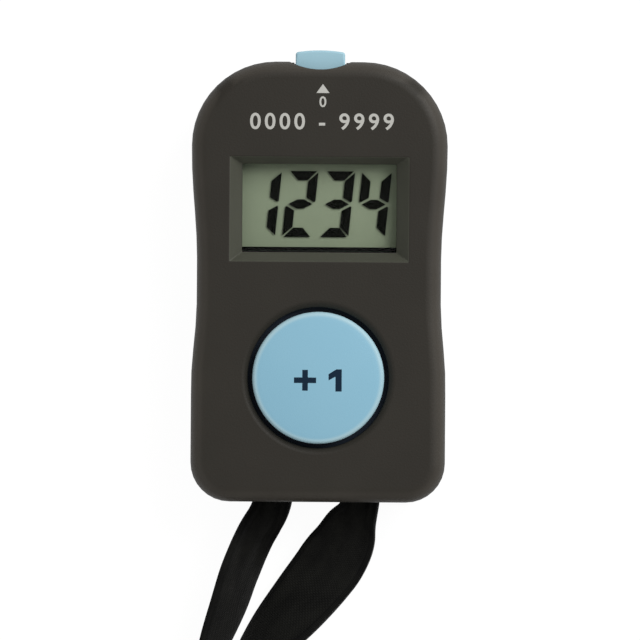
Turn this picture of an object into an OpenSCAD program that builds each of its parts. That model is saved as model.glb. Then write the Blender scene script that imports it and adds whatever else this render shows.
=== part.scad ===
// Electronic hand tally counter: a two-part moulded case with a display window, a large
// count button, a small reset button in the top edge and a black ribbon lanyard.
// Millimetres. It lies on its back: X across, Y up the face, Z out of the face.
// The origin is the middle of the flat back.

/* [Case] */
// Height of the case, bottom edge to top edge
case_h = 64; // [63:0.5:70]
// Width across the shoulders
shoulder_w = 37.2; // [37:0.1:40]
// Width at the waist
waist_w = 35.5; // [34.6:0.1:36.8]
// Width across the base
base_w = 37; // [36.8:0.1:40]
// Thickness from back to face
case_t = 15; // [14.9:0.1:17]
// Thickness of the side walls
wall = 1.8; // [1.6:0.05:1.95]
// Thickness of the face
face_wall = 2; // [1.8:0.05:2.1]
// Thickness of the back
back_wall = 1.6; // [1.5:0.05:1.7]
// Radius of the shoulder corners
shoulder_r = 12.2; // [10:0.1:13]
// Radius of the base corners
base_r = 5.7; // [4.5:0.1:7]
// Rounding of the face's edge
edge_r = 2.4; // [1.6:0.1:2.8]
// Rounding of the back's edge
back_edge_r = 1.8; // [1.2:0.1:2.2]
// Height of the parting line above the back
parting_z = 7.5; // [7.3:0.05:7.7]
// Shadow gap at the parting line
parting_gap = 0.15; // [0.1:0.05:0.3]
// Height of the lip that locates the shells
lip_h = 1; // [0.6:0.1:1.2]
// Thickness of the front shell's rim outside the lip
rim_t = 0.9; // [0.8:0.05:1]

/* [Window and display] */
// Width of the window at its inner edge
window_w = 22.4; // [20:0.1:23]
// Height of the window at its inner edge, as a share of the case's height
window_share = 0.2; // [0.17:0.002:0.206]
// Height of the window's middle above the case's middle, as a share of the case's height
window_place = 0.1672; // [0.15:0.001:0.18]
// Slope of the window's sides, across
bevel_side = 1.8; // [1:0.1:2.2]
// Slope of the window's top edge
bevel_top = 1; // [0.6:0.1:1.6]
// Slope of the window's bottom edge
bevel_bottom = 1.4; // [0.8:0.1:2]
// Thickness of the clear window
lens_t = 1; // [0.8:0.05:1.2]
// Width of the display glass
glass_w = 25.5; // [24.5:0.1:26]
// Height of the display glass, with its ledge, as a share of the case's height
glass_share = 0.25; // [0.235:0.001:0.259]
// Thickness of each glass plate
glass_t = 0.7; // [0.55:0.05:0.8]
// Thickness of the front polariser
polariser_t = 0.2; // [0.15:0.05:0.3]
// Thickness of the reflector
reflector_t = 0.25; // [0.2:0.05:0.3]
// Depth of the contact ledge along the glass's bottom edge
ledge = 2.5; // [2.3:0.1:2.8]
// Thickness of the connector strip
zebra_t = 1.8; // [1.4:0.1:2]
// Height of the connector strip
zebra_h = 2.2; // [2:0.05:2.3]
// Wall of the display holder
holder_wall = 1; // [0.8:0.05:1.2]

/* [Count button] */
// Diameter of the count button
count_d = 19.1; // [17:0.1:19.6]
// Gap between the button and its hole
count_gap = 0.7; // [0.4:0.05:0.8]
// Depth of the button's middle below the case's middle, as a share of the case's height
count_place = 0.2172; // [0.212:0.001:0.222]
// Height of the button's edge above the face
count_proud = 0.9; // [0.4:0.1:2]
// Height of the button's crown above its edge
count_crown = 0.5; // [0.2:0.05:0.8]
// Rounding of the button's edge
count_edge_r = 0.6; // [0.3:0.05:0.8]
// Travel of the count button
count_travel = 1.2; // [0.8:0.05:1.25]
// Width of the flange that keeps the button in
count_flange = 1.65; // [1.3:0.05:1.8]
// Thickness of that flange
count_flange_t = 1; // [0.8:0.05:1.1]
// Width of the sloped lip round the hole
count_lip = 1; // [0.6:0.05:1.2]

/* [Reset button] */
// Width of the reset button
reset_w = 7.2; // [6:0.1:8]
// Height of the reset button across the case's thickness
reset_h = 4.6; // [4:0.1:4.8]
// How far the reset button stands out of the top edge
reset_proud = 1.7; // [1.2:0.05:2]
// Travel of the reset button
reset_travel = 0.8; // [0.5:0.05:0.85]
// Depth of the finger scoop in the face's top edge
scoop_depth = 1.2; // [1:0.1:2.2]
// Width of the finger scoop at the top edge
scoop_w = 9; // [8.6:0.1:11]

/* [Board] */
// Thickness of the circuit board
board_t = 1; // [0.8:0.05:1.05]
// Width of the circuit board
board_w = 29.2; // [28:0.1:30]
// Body of the reset switch, along each side
switch_w = 6; // [5:0.1:6.5]
// Height of the reset switch above the board
switch_h = 3.5; // [3.3:0.1:3.7]
// Depth of the reset switch's body
switch_d = 3.5; // [3:0.1:3.8]
// Diameter of the switch's plunger
plunger_d = 2.6; // [2:0.1:2.9]

/* [Battery] */
// Diameter of the button cell
cell_d = 11.6; // [10:0.1:11.8]
// Height of the button cell
cell_h = 5.4; // [4.8:0.1:5.4]
// Height of the cell's middle above the case's middle, as a share of the case's height
cell_place = 0.1875; // [0.18:0.001:0.195]
// Diameter of the battery door
door_d = 16.4; // [16:0.1:17]
// Thickness of the battery door
door_t = 1.2; // [1:0.05:1.25]
// Turn that frees the door, in degrees
door_turn = 45; // [40:1:60]
// Width of the coin slot
coin_slot_w = 1.8; // [1.4:0.1:2.2]

/* [Fasteners] */
// Diameter of the case screws
case_screw_d = 1.9; // [1.6:0.1:2]
// Diameter of the board screws
board_screw_d = 1.5; // [1.3:0.1:1.6]
// Wall of the screw towers
tower_wall = 1.2; // [1:0.05:1.25]

/* [Lanyard] */
// Width of the ribbon
ribbon_w = 10; // [8:0.1:10]
// Thickness of the ribbon
ribbon_t = 1; // [0.6:0.05:1.1]
// Width of the ribbon where it is folded to pass its slot
fold_w = 5.2; // [4.6:0.1:5.4]
// Thickness of the folded ribbon
fold_t = 2; // [1.6:0.1:2.2]
// Distance of each slot from the middle
slot_x = 6.4; // [6.2:0.1:6.6]
// Diameter of the lanyard pin
pin_d = 2; // [1.6:0.1:2]
// Step between neighbouring runs of the hank
hank_step = 4; // [3.6:0.1:4]
// Length of the hank's straight runs
hank_run = 70; // [60:1:80]
// Share by which the tie draws in the hank's waist
hank_waist = 0.1; // [0:0.01:0.12]
// Width of the tie
tie_w = 8; // [6:0.5:12]
// Thickness of the tie
tie_t = 0.5; // [0.4:0.05:0.6]

/* [Hidden] */
$fn = 64;

// Clearances: sliding fits, glued or clipped seats, and the play of a moving stop
slide_gap = 0.2;
seat_gap = 0.1;
stop_gap = 0.15;
// Overrun of a cut past the face that it opens
over = 1;

// Places up the face
top_y = case_h / 2;
window_y = case_h * window_place;
window_h = case_h * window_share;
glass_h = case_h * glass_share;
count_y = -case_h * count_place;
cell_y = case_h * cell_place;

// Heights through the thickness, from the face inwards
face_in = case_t - face_wall;
lens_z = face_in - seat_gap - lens_t;
polariser_z = lens_z - 0.3 - polariser_t;
front_glass_z = polariser_z - glass_t;
rear_glass_z = front_glass_z - glass_t;
reflector_z = rear_glass_z - reflector_t;
board_top = front_glass_z - zebra_h;
board_z = board_top - board_t;

// Display: the glass hangs a little below the window's middle, where its ledge is covered
glass_y = window_y - 0.1;
glass_low = glass_y - glass_h / 2;
glass_high = glass_y + glass_h / 2;
field_low = glass_low + ledge + 0.25;
field_y = (field_low + glass_high) / 2;
holder_high = glass_high + seat_gap + holder_wall;

// Count button, its flange and its guide
count_r = count_d / 2;
count_hole_r = count_r + count_gap;
count_flange_r = count_r + count_flange;
flange_top = face_in - seat_gap;
flange_z = flange_top - count_flange_t;
guide_r = count_flange_r + slide_gap;
guide_wall = 1.1;
guide_h = count_flange_t + count_travel + 0.4;
dome_top = flange_z - seat_gap / 2;
dome_ceiling = dome_top - 1.3;
pill_t = 0.6;
pill_r = 2;
pad_t = 0.1;
pad_r = 3.2;
// Silicone dome: foot, thin cone and crown
dome_r = 7;
dome_foot = 1.6;
foot_top = board_top + 0.7;
dome_crown_r = 4;
dome_web = 0.7;

// Reset button and its switch, from the top wall inwards
wall_in_y = top_y - wall;
reset_z = board_top + switch_h / 2;
reset_flange_t = 1;
reset_flange_y = wall_in_y - stop_gap - reset_flange_t;
reset_flange_w = reset_w + 2.4;
stem_y = reset_flange_y - 1.2;
switch_front = stem_y - reset_travel - 0.3;
board_high = switch_front + 0.15;
board_low = -top_y + 8.6;

// Parts under the board
crystal_d = 2;
crystal_l = 6;
chip_l = 2;
chip_w = 1.25;
chip_h = 0.8;
blob_r = 3.4;
blob_h = 1.1;

// Battery and its door
door_z = 0.25;
door_r = door_d / 2;
door_hole_r = door_r + stop_gap;
lug_r = door_r + 0.85;
lug_angle = 30;
groove_top = door_z + door_t + 0.05;
cell_z = door_z + door_t + seat_gap;
cell_top = cell_z + cell_h;
cell_r = cell_d / 2;
well_r = cell_r + 0.55;
well_wall = 1.05;
contact_t = 0.25;
plus_x = cell_r + seat_gap;

// Screws: towers near the corners, and the board's own screws
tower_r = case_screw_d / 2 + tower_wall;
head_r = case_screw_d;
// A tower stands in each corner, on the diagonal, clear of the lip inside the wall
function corner_in(r) = r - (r - wall - tower_r - slide_gap) * sin(45);
case_screw_at = [for (s = [-1, 1]) each [
    [s * (shoulder_w / 2 - corner_in(shoulder_r)), top_y - corner_in(shoulder_r)],
    [s * (base_w / 2 - corner_in(base_r)), -top_y + corner_in(base_r)]]];
board_tower_r = board_screw_d / 2 + 0.9;
board_edge = board_screw_d / 2 + 1.15;
board_screw_x = switch_w / 2 + 4.75 + board_tower_r;
board_screw_at = [for (p = [[board_screw_x, holder_high + board_tower_r + seat_gap],
        [board_w / 2 - board_edge, board_low + board_edge]]) for (s = [-1, 1]) [s * p.x, p.y]];
case_head_z = 1.4;
case_head_t = 1.5;
thread_l = 4;
board_head_t = 1;
board_head_r = 0.95 * board_screw_d;

// Lanyard: pin, slots and hank
pin_y = -top_y + wall + 2.6;
pin_z = 5;
pin_l = 2 * slot_x + fold_w + 3.2;
sleeve_t = 1.1;
slot_w = fold_w + 0.8;
slot_low = pin_z - fold_t / 2 - 0.4;
strand_y = -top_y + 1.1;
hank_x = 3;
hank_top = -74;
hank_z = 0.9 + ribbon_w / 2;
hank_turns = 4;
hank_half = 22;
saddle_x = [-slot_x - slot_w / 2 - 0.7, 0, slot_x + slot_w / 2 + 0.7];
saddle_t = 1.2;
saddle_top = pin_z + pin_d / 2 + 0.3;

// Free strands, each point as [x, y, z, opening, roll]: opening 0 is folded and 1 is flat,
// roll turns the ribbon from lying flat to standing on its edge
left_route = [
    [-slot_x, strand_y, pin_z, 0, 0], [-6.6, -32.3, 5, 0, 4], [-7.45, -34.4, 5, 0.1, 20],
    [-9, -36.9, 5, 0.35, 40], [-10.2, -39.5, 5.1, 0.65, 52], [-11.5, -43.1, 5.3, 1, 60],
    [-12.9, -47.4, 5.4, 1, 62], [-14.6, -52, 5.6, 1, 67], [-16.4, -57, 5.8, 1, 76], [-18, -63, 5.9, 1, 86],
    [-19, -69, 5.9, 1, 90], [hank_x - hank_half, hank_top, hank_z, 1, 90]];
right_route = [
    [slot_x, strand_y, pin_z, 0, 0], [6.3, -32.2, 5, 0, 0], [5.85, -33.9, 4.9, 0.12, -4],
    [4.9, -35.9, 4.6, 0.55, -8], [3.8, -38.4, 4.2, 0.85, -11], [2.3, -40.9, 3.8, 1, -14],
    [0.6, -43.3, 3.7, 1, -18], [-2.7, -47.4, 3.9, 1, -30], [-6.6, -52, 4.4, 1, -46], [-10.3, -57, 5.1, 1, -64],
    [-13.2, -62.6, 5.7, 1, -80], [-14.8, -68.6, 5.9, 1, -90],
    [hank_x - hank_half + hank_step, hank_top, hank_z, 1, -90]];

// Colours
case_colour = [0.21, 0.2, 0.18];
blue = [0.53, 0.72, 0.8];
black = [0.06, 0.06, 0.05];
steel = [0.75, 0.75, 0.73];
gold = [0.8, 0.66, 0.3];

// Outline of the case
function ease(t) = (1 - cos(180 * max(0, min(1, t)))) / 2;
// Half of the width at a height: base, waist and shoulders with eased changes between them
function half_width(y) = (y < 0
    ? waist_w + (base_w - waist_w) * ease((-3 - y) / 12)
    : waist_w + (shoulder_w - waist_w) * ease((y - 3) / 16)) / 2;
function arc(x, y, r, a0, a1, n) = [for (k = [0:n])
    let (a = a0 + (a1 - a0) * k / n) [x + r * cos(a), y + r * sin(a)]];
// Right half of the outline, drawn in by d, from the bottom edge to the top edge
side_low = -top_y + base_r;
side_high = top_y - shoulder_r;
side_steps = 14;
function right_half(d) = concat(
    arc(base_w / 2 - base_r, side_low, base_r - d, -90, 0, 8),
    [for (k = [1:side_steps - 1])
        let (y = side_low + (side_high - side_low) * k / side_steps) [half_width(y) - d, y]],
    arc(shoulder_w / 2 - shoulder_r, side_high, shoulder_r - d, 0, 90, 12));
function outline(d) = let (half = right_half(d), n = len(half))
    concat(half, [for (k = [n - 1:-1:0]) [-half[k].x, half[k].y]]);
// Rings for a skin: the outline drawn in and set at each level [inset, z]
function levels(list) = [for (l = list) [for (p = outline(l[0])) [p.x, p.y, l[1]]]];
// A quarter round from a vertical wall to a flat, as levels
function round_up(r, z) = [for (a = [0:15:90]) [r * (1 - cos(a)), z - r * (1 - sin(a))]];
function round_down(r) = [for (a = [90:-15:0]) [r * (1 - cos(a)), r * (1 - sin(a))]];

// Closed skin over rings that have the same number of points, capped from the middle of each end
function middle(ring) = [for (p = ring) 1] * ring / len(ring);
module skin(rings) {
    n = len(rings[0]);
    last = len(rings) - 1;
    count = n * len(rings);
    bands = [for (k = [0:last - 1]) for (i = [0:n - 1]) let (j = (i + 1) % n)
        each [[k * n + i, (k + 1) * n + i, (k + 1) * n + j], [k * n + i, (k + 1) * n + j, k * n + j]]];
    caps = [for (i = [0:n - 1]) let (j = (i + 1) % n)
        each [[i, j, count], [last * n + j, last * n + i, count + 1]]];
    points = concat([for (r = rings) each r], [middle(rings[0]), middle(rings[last])]);
    polyhedron(points, concat(bands, caps));
}

// Small shapes
module block(x, y, w, h, z0, z1) {
    translate([x - w / 2, y - h / 2, z0]) cube([w, h, z1 - z0]);
}
module disc(r, z0, z1) {
    translate([0, 0, z0]) cylinder(r = r, h = z1 - z0);
}
module sector(r0, r1, z0, z1, a0, a1) {
    rotate(a0) rotate_extrude(angle = a1 - a0) translate([r0, z0]) square([r1 - r0, z1 - z0]);
}
module rounded_square(w, h, r) {
    square([w - 2 * r, h], center = true);
    square([w, h - 2 * r], center = true);
    for (x = [-1, 1]) for (y = [-1, 1]) translate([x * (w / 2 - r), y * (h / 2 - r)]) circle(r);
}
module at(places) {
    for (p = places) translate([p.x, p.y, 0]) children();
}

// Four corners of the window at one height, opened by a share of its bevels
function window_ring(z, share) = [for (c = [[-1, -1], [1, -1], [1, 1], [-1, 1]])
    [c.x * (window_w / 2 + share * bevel_side),
        window_y + c.y * window_h / 2 + share * (c.y > 0 ? bevel_top : -bevel_bottom), z]];

module front_shell() color(case_colour) difference() {
    union() {
        skin(levels(concat(
            [[wall, face_in], [wall, parting_z + lip_h + seat_gap], [rim_t, parting_z + lip_h + seat_gap],
                [rim_t, parting_z], [0, parting_z]],
            round_up(edge_r, case_t))));
        at(case_screw_at) disc(tower_r, parting_z + parting_gap, face_in + over / 2);
        at(board_screw_at) disc(board_tower_r, board_top, face_in + over / 2);
        translate([0, count_y]) difference() {
            disc(guide_r + guide_wall, face_in - guide_h, face_in + over / 2);
            disc(guide_r, 0, face_in + over);
        }
        lens_frame();
        // Keeper over the middle of the lanyard pin
        block(0, pin_y, saddle_t, 2 * pin_d, saddle_top + stop_gap, face_in + over / 2);
    }
    skin([window_ring(face_in - over, 0), window_ring(face_in + seat_gap, 0), window_ring(case_t, 1),
        window_ring(case_t + over, 1)]);
    translate([0, count_y]) {
        disc(count_hole_r, face_in - over, case_t + over);
        translate([0, 0, case_t - 0.6])
            cylinder(r1 = count_hole_r, r2 = count_hole_r + count_lip, h = 0.6);
    }
    finger_scoop();
    block(0, top_y, reset_w + 2 * slide_gap, 2 * wall + 1.4, 0, reset_z + reset_h / 2 + slide_gap);
    at(case_screw_at) disc(case_screw_d / 2 + 0.05, 0, parting_z + thread_l + 0.4);
    at(board_screw_at) disc(board_screw_d / 2 + 0.05, 0, board_top + thread_l - 0.2);
}
// Low rib that locates the clear window
module lens_frame() difference() {
    block(0, glass_y, glass_w + 1.6, glass_h + 1.6, lens_z + seat_gap, face_in + over / 2);
    block(0, glass_y, glass_w + 2 * seat_gap, glass_h + 2 * seat_gap, 0, face_in + over);
}
module finger_scoop() {
    r = (pow(scoop_w / 2, 2) + pow(scoop_depth, 2)) / (2 * scoop_depth);
    translate([0, top_y - scoop_depth + r]) disc(r, reset_z, case_t + over);
}

module rear_shell() color(case_colour) difference() {
    union() {
        skin(levels(concat(round_down(back_edge_r), [[0, parting_z - parting_gap],
            [rim_t + seat_gap, parting_z - parting_gap], [rim_t + seat_gap, parting_z + lip_h],
            [wall, parting_z + lip_h], [wall, back_wall]])));
        at(case_screw_at) {
            disc(tower_r, back_wall / 2, parting_z);
            disc(head_r + 1.1, back_wall / 2, case_head_z + case_head_t + 1);
        }
        translate([0, cell_y]) {
            disc(lug_r + 1.2, back_wall / 2, back_wall + 1.2);
            disc(well_r + well_wall, back_wall / 2, board_z - 0.6);
        }
        for (x = saddle_x) block(x, pin_y, saddle_t, 2 * pin_d + 1, back_wall / 2, saddle_top);
    }
    at(case_screw_at) {
        disc(case_screw_d / 2 + slide_gap, -over, parting_z + over);
        disc(head_r + slide_gap, -over, case_head_z + case_head_t);
    }
    translate([0, cell_y]) {
        disc(well_r, back_wall / 2, board_z);
        disc(door_hole_r, -over, back_wall);
        // Groove that the lugs turn in, and the ways that let them in
        for (a = [0, 180]) rotate(a) {
            sector(door_r - 0.5, lug_r + slide_gap, 0.65, groove_top, -lug_angle / 2 - 1, door_turn);
            sector(door_r - 0.5, lug_r + 1.5 * slide_gap, -over, groove_top + 0.05,
                door_turn - lug_angle / 2 - 1, door_turn + lug_angle / 2 + 1);
        }
        block(plus_x + contact_t / 2, 0, contact_t + 0.6, 3.6, 2.4, board_z);
    }
    // Lanyard slots and pin seats
    for (s = [-1, 1]) block(s * slot_x, -top_y, slot_w, 2 * wall + 1, slot_low, case_t);
    translate([-pin_l / 2 - slide_gap, pin_y, pin_z]) rotate([0, 90, 0])
        cylinder(d = pin_d + seat_gap, h = pin_l + 2 * slide_gap);
    for (x = saddle_x) block(x, pin_y, 2 * saddle_t, pin_d + seat_gap, pin_z, case_t);
    // Way for the reset button through the lip
    block(0, top_y, reset_flange_w + 2 * slide_gap, 2 * wall + 2, parting_z - parting_gap, case_t);
}

module window_lens() color([0.8, 0.86, 0.86, 0.5])
    block(0, glass_y, glass_w, glass_h, lens_z, lens_z + lens_t);
module lcd_polariser() color([0.5, 0.54, 0.45])
    block(0, field_y, glass_w - 1, glass_high - field_low, polariser_z, polariser_z + polariser_t);
module lcd_front_glass() color([0.6, 0.66, 0.6, 0.6])
    block(0, glass_y, glass_w, glass_h, front_glass_z, front_glass_z + glass_t);
module lcd_rear_glass() color([0.6, 0.66, 0.6, 0.6])
    block(0, glass_y + ledge / 2, glass_w, glass_h - ledge, rear_glass_z, rear_glass_z + glass_t);
module lcd_reflector() color([0.48, 0.53, 0.43])
    block(0, field_y, glass_w - 1, glass_high - field_low, reflector_z, reflector_z + reflector_t);
// Frame round the glass, with feet on the board and a cross bar behind the connector strip
module lcd_holder() color(black) difference() {
    w = glass_w + 2 * seat_gap;
    h = glass_h + 2 * seat_gap;
    block(0, glass_y, w + 2 * holder_wall, h + 2 * holder_wall, board_top, front_glass_z + glass_t);
    block(0, glass_y, w, h, rear_glass_z - reflector_t - seat_gap, case_t);
    block(0, glass_low + seat_gap + zebra_t / 2, glass_w - 1, zebra_t + 2 * seat_gap, board_top - over, case_t);
    block(0, glass_y + ledge / 2 + 0.4, glass_w - 3, glass_h - ledge - 2, board_top - over, case_t);
}
module zebra_strip() color(black)
    block(0, glass_low + seat_gap + zebra_t / 2, glass_w - 1.4, zebra_t, board_top, front_glass_z);

module circuit_board() color("darkgreen") translate([0, 0, board_z]) linear_extrude(board_t) difference() {
    intersection() {
        polygon(outline(wall + 0.6));
        translate([-board_w / 2, board_low]) square([board_w, board_high - board_low]);
    }
    for (p = case_screw_at) translate(p) circle(tower_r + slide_gap);
    for (p = board_screw_at) translate(p) circle(d = board_screw_d + slide_gap);
}
// Resin drop: the cap of a ball, under the board
module chip_blob() color(black) {
    ball_r = (blob_r * blob_r + blob_h * blob_h) / (2 * blob_h);
    translate([0, count_y + 1.5 * blob_r, board_z]) mirror([0, 0, 1]) rotate_extrude() intersection() {
        translate([0, blob_h - ball_r]) circle(ball_r, $fn = 96);
        square([blob_r, blob_h]);
    }
}
// Watch crystal: a can that lies along the board, with two leads
module crystal() color(steel) translate([-board_w / 3, count_y + crystal_d, board_z - crystal_d / 2 - seat_gap])
    rotate([-90, 0, 0]) {
        cylinder(d = crystal_d, h = crystal_l);
        for (x = [-0.2, 0.2]) translate([x * crystal_d, 0, -crystal_d])
            cylinder(d = 0.15 * crystal_d, h = 1.1 * crystal_d, $fn = 16);
    }
// Places in steps of the small parts' length, to the right of the chip
module chip_parts() color([0.7, 0.6, 0.45])
    for (p = [[4, 2], [4, 0.5], [4, -1], [5.5, 1.25], [-3, -1.5]])
        block(p.x * chip_l, count_y + p.y * chip_l, chip_l, chip_w, board_z - chip_h, board_z);
// Two printed half discs with a snaking gap between them
module contact_pads() color(black) translate([0, count_y, board_top]) linear_extrude(pad_t) difference() {
    circle(pad_r);
    for (k = [-1:1]) translate([k * 1.6, 0]) {
        translate([0, k * 0.6]) square([0.3, 4.2], center = true);
        translate([0.8, (k % 2 == 0 ? 1.8 : -1.5)]) square([1.9, 0.3], center = true);
    }
    translate([-3.4, 1.5]) square([2, 0.3]);
}

// Moulded cap, hollow underneath, with a post for the dome and a flange under the face
module count_button() color(blue) translate([0, count_y]) rotate_extrude() {
    post_r = dome_crown_r + slide_gap;
    hollow_r = count_r - 1.3;
    hollow_z = face_in + face_wall / 2;
    edge_z = case_t + count_proud;
    crown_x = count_r - count_edge_r;
    polygon(concat(
        [[0, flange_z], [post_r, flange_z], [post_r, hollow_z], [hollow_r, hollow_z], [hollow_r, flange_z],
            [count_flange_r, flange_z], [count_flange_r, flange_top], [count_r, flange_top]],
        arc(crown_x, edge_z - count_edge_r, count_edge_r, 0, 75, 5),
        [for (k = [0:6]) let (x = crown_x * (1 - k / 6) - 0.05)
            [max(0, x), edge_z + count_crown * (1 - pow(max(0, x) / crown_x, 2))]]));
}
// Silicone dome: a flat foot, a thin cone and a thick crown under the button's post
module count_dome() color([0.85, 0.85, 0.82]) translate([0, count_y]) rotate_extrude()
    polygon([[dome_r, board_top], [dome_r, foot_top], [dome_r - dome_foot, foot_top],
        [dome_crown_r, dome_ceiling + dome_web / 2], [dome_crown_r, dome_top], [0, dome_top], [0, dome_ceiling],
        [dome_crown_r - dome_web, dome_ceiling], [dome_r - dome_foot - dome_web, foot_top - slide_gap],
        [dome_r - dome_foot - dome_web, board_top]]);
module carbon_pill() color(black) translate([0, count_y])
    disc(pill_r, dome_ceiling - seat_gap / 2 - pill_t, dome_ceiling - seat_gap / 2);

// Bar with a crowned end, a flange inside the wall and a stem for the switch
module reset_button() color(blue) {
    tip = top_y + reset_proud;
    crown_r = 3 * reset_w;
    translate([0, 0, reset_z - reset_h / 2]) linear_extrude(reset_h) intersection() {
        translate([-reset_w / 2, reset_flange_y]) square([reset_w, tip - reset_flange_y]);
        translate([0, tip - crown_r]) circle(crown_r);
    }
    block(0, reset_flange_y + reset_flange_t / 2, reset_flange_w, reset_flange_t, reset_z - reset_h / 2,
        reset_z + reset_h / 2);
    stem_top = reset_flange_y + reset_flange_t / 2;
    stem_h = reset_h / 2;
    block(0, (stem_y + stem_top) / 2, reset_w / 2, stem_top - stem_y, reset_z - stem_h / 2,
        reset_z + stem_h / 2);
}
module reset_switch() color(black) difference() {
    block(0, switch_front - switch_d / 2, switch_w, switch_d, board_top, board_top + switch_h);
    translate([0, switch_front + over, reset_z]) rotate([90, 0, 0])
        cylinder(d = plunger_d + slide_gap, h = over + 0.5 + reset_travel + seat_gap);
}
module switch_plunger() color("white") translate([0, stem_y, reset_z]) rotate([90, 0, 0])
    cylinder(d = plunger_d, h = stem_y - switch_front + 0.5);

// Can with its rolled edge, and the smaller cap on the board's side
module button_cell() color(steel) translate([0, cell_y, cell_z]) rotate_extrude()
    polygon([[0, 0], [cell_r - 0.4, 0], [cell_r, 0.4], [cell_r, cell_h - 0.8], [cell_r - 0.5, cell_h - 0.4],
        [cell_r - 1.1, cell_h - 0.4], [cell_r - 1.3, cell_h], [0, cell_h]]);
// Leaf under the board whose bent tongue springs down onto the cell's cap
module cell_contact_minus() color(gold) translate([-1.5, cell_y, 0]) rotate([90, 0, 90]) linear_extrude(3) {
    under = board_z - contact_t;
    touch = cell_top + seat_gap;
    polygon([[-4, board_z], [-4, under], [2.4, under], [0.3, touch + 0.1], [-1, touch + 0.1], [-1, touch],
        [0.4, touch], [3.2, under - 0.05], [3.2, board_z]]);
}
module cell_contact_plus() color(gold) {
    block(plus_x + contact_t / 2, cell_y, contact_t, 3, 2.8, board_z);
    block(plus_x + 1.4, cell_y, 2.8, 3, board_z - contact_t, board_z);
}
module battery_door() color(case_colour) translate([0, cell_y]) difference() {
    union() {
        disc(door_r, door_z, door_z + door_t);
        for (a = [0, 180]) rotate(a)
            sector(door_r - 0.5, lug_r, 0.65 + stop_gap, door_z + door_t, -lug_angle / 2, lug_angle / 2);
    }
    block(0, 0, 11, coin_slot_w, -over, door_z + 0.6);
}

module screw(d, head_r, head_z, head_t, tip_z) {
    difference() {
        disc(head_r, head_z, head_z + head_t);
        for (a = [0, 90]) rotate(a) block(0, 0, 1.2 * head_r, 0.3 * head_r, 0, head_z + head_t / 2);
    }
    disc(d / 2, head_z + head_t / 2 + 0.1, tip_z);
}
module case_screws() color(steel) at(case_screw_at)
    screw(case_screw_d, head_r, case_head_z - 0.05, case_head_t, parting_z + thread_l);
module board_screws() color(steel) at(board_screw_at)
    screw(board_screw_d, board_head_r, board_z - board_head_t, board_head_t, board_top + thread_l - 0.6);

module lanyard_pin() color(steel) translate([-pin_l / 2, pin_y, pin_z]) rotate([0, 90, 0])
    cylinder(d = pin_d, h = pin_l);
// Sewn ends of the ribbon: a sleeve round the pin and a doubled tongue into the slot
module lanyard_eyes() color(black) for (s = [-1, 1]) translate([s * slot_x, 0, pin_z]) difference() {
    union() {
        translate([-fold_w / 2, pin_y, 0]) rotate([0, 90, 0]) cylinder(d = pin_d + 2 * sleeve_t, h = fold_w);
        block(0, (pin_y + strand_y) / 2, fold_w, pin_y - strand_y, -fold_t / 2, fold_t / 2);
    }
    translate([-fold_w, pin_y, 0]) rotate([0, 90, 0]) cylinder(d = pin_d + 2 * seat_gap, h = 2 * fold_w);
}

// Ring of the ribbon at a point: a flat lens of the given width and thickness across the way
function unit(v) = v / norm(v);
function ribbon_ring(p, way, w, t, roll, sides) =
    let (side = unit([way.y, -way.x, 0]), across = cos(roll) * side + [0, 0, sin(roll)],
        through = cross(across, unit([way.x, way.y, 0])))
    [for (k = [0:sides - 1]) let (a = 360 * (k + 0.5) / sides, s = 1 / cos(180 / sides))
        p + across * (w / 2) * max(-1, min(1, s * cos(a))) + through * (t / 2) * max(-1, min(1, s * sin(a)))];
module strand(route) {
    last = len(route) - 1;
    at = [for (p = route) [p.x, p.y, p.z]];
    skin([for (k = [0:last]) let (way = k == 0 || k == last ? [0, -1, 0] : at[k + 1] - at[k - 1],
            open = route[k][3])
        ribbon_ring(at[k], way, fold_w + (ribbon_w - fold_w) * open, fold_t + (ribbon_t - fold_t) * open,
            route[k][4], 8)]);
}
module lanyard_left() color(black) strand(left_route);
module lanyard_right() color(black) strand(right_route);

// Hank: the ribbon stands on edge and winds in run by run, turns over in the middle and winds out
// between its own runs, so that both ends leave it side by side
function run_x(k) = k < hank_turns ? (k % 2 == 0 ? -1 : 1) * (hank_half - hank_step * k)
    : k == hank_turns ? 0 : -run_x(2 * hank_turns - k);
hank_runs = 2 * hank_turns;
run_steps = 6;
bend_steps = 11;
function waist(t) = 1 - hank_waist * pow(sin(180 * t), 2);
// One run and the half turn after it, on the left or right going down or up
function hank_run_points(k) = let (down = k % 2 == 0)
    [for (i = [0:run_steps]) let (t = i / run_steps)
        [hank_x + run_x(k) * waist(t), hank_top - hank_run * (down ? t : 1 - t), hank_z]];
function hank_bend_points(k) = let (down = k % 2 == 0, x0 = run_x(k), x1 = run_x(k + 1), m = (x0 + x1) / 2)
    [for (i = [1:bend_steps - 1]) let (a = 180 * i / bend_steps)
        [hank_x + m + (x0 - m) * cos(a), hank_top - (down ? hank_run : 0)
            + (down ? -1 : 1) * abs(x0 - m) * sin(a), hank_z]];
hank_path = [for (k = [0:hank_runs - 1]) each concat(hank_run_points(k),
    k < hank_runs - 1 ? hank_bend_points(k) : [])];
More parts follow.
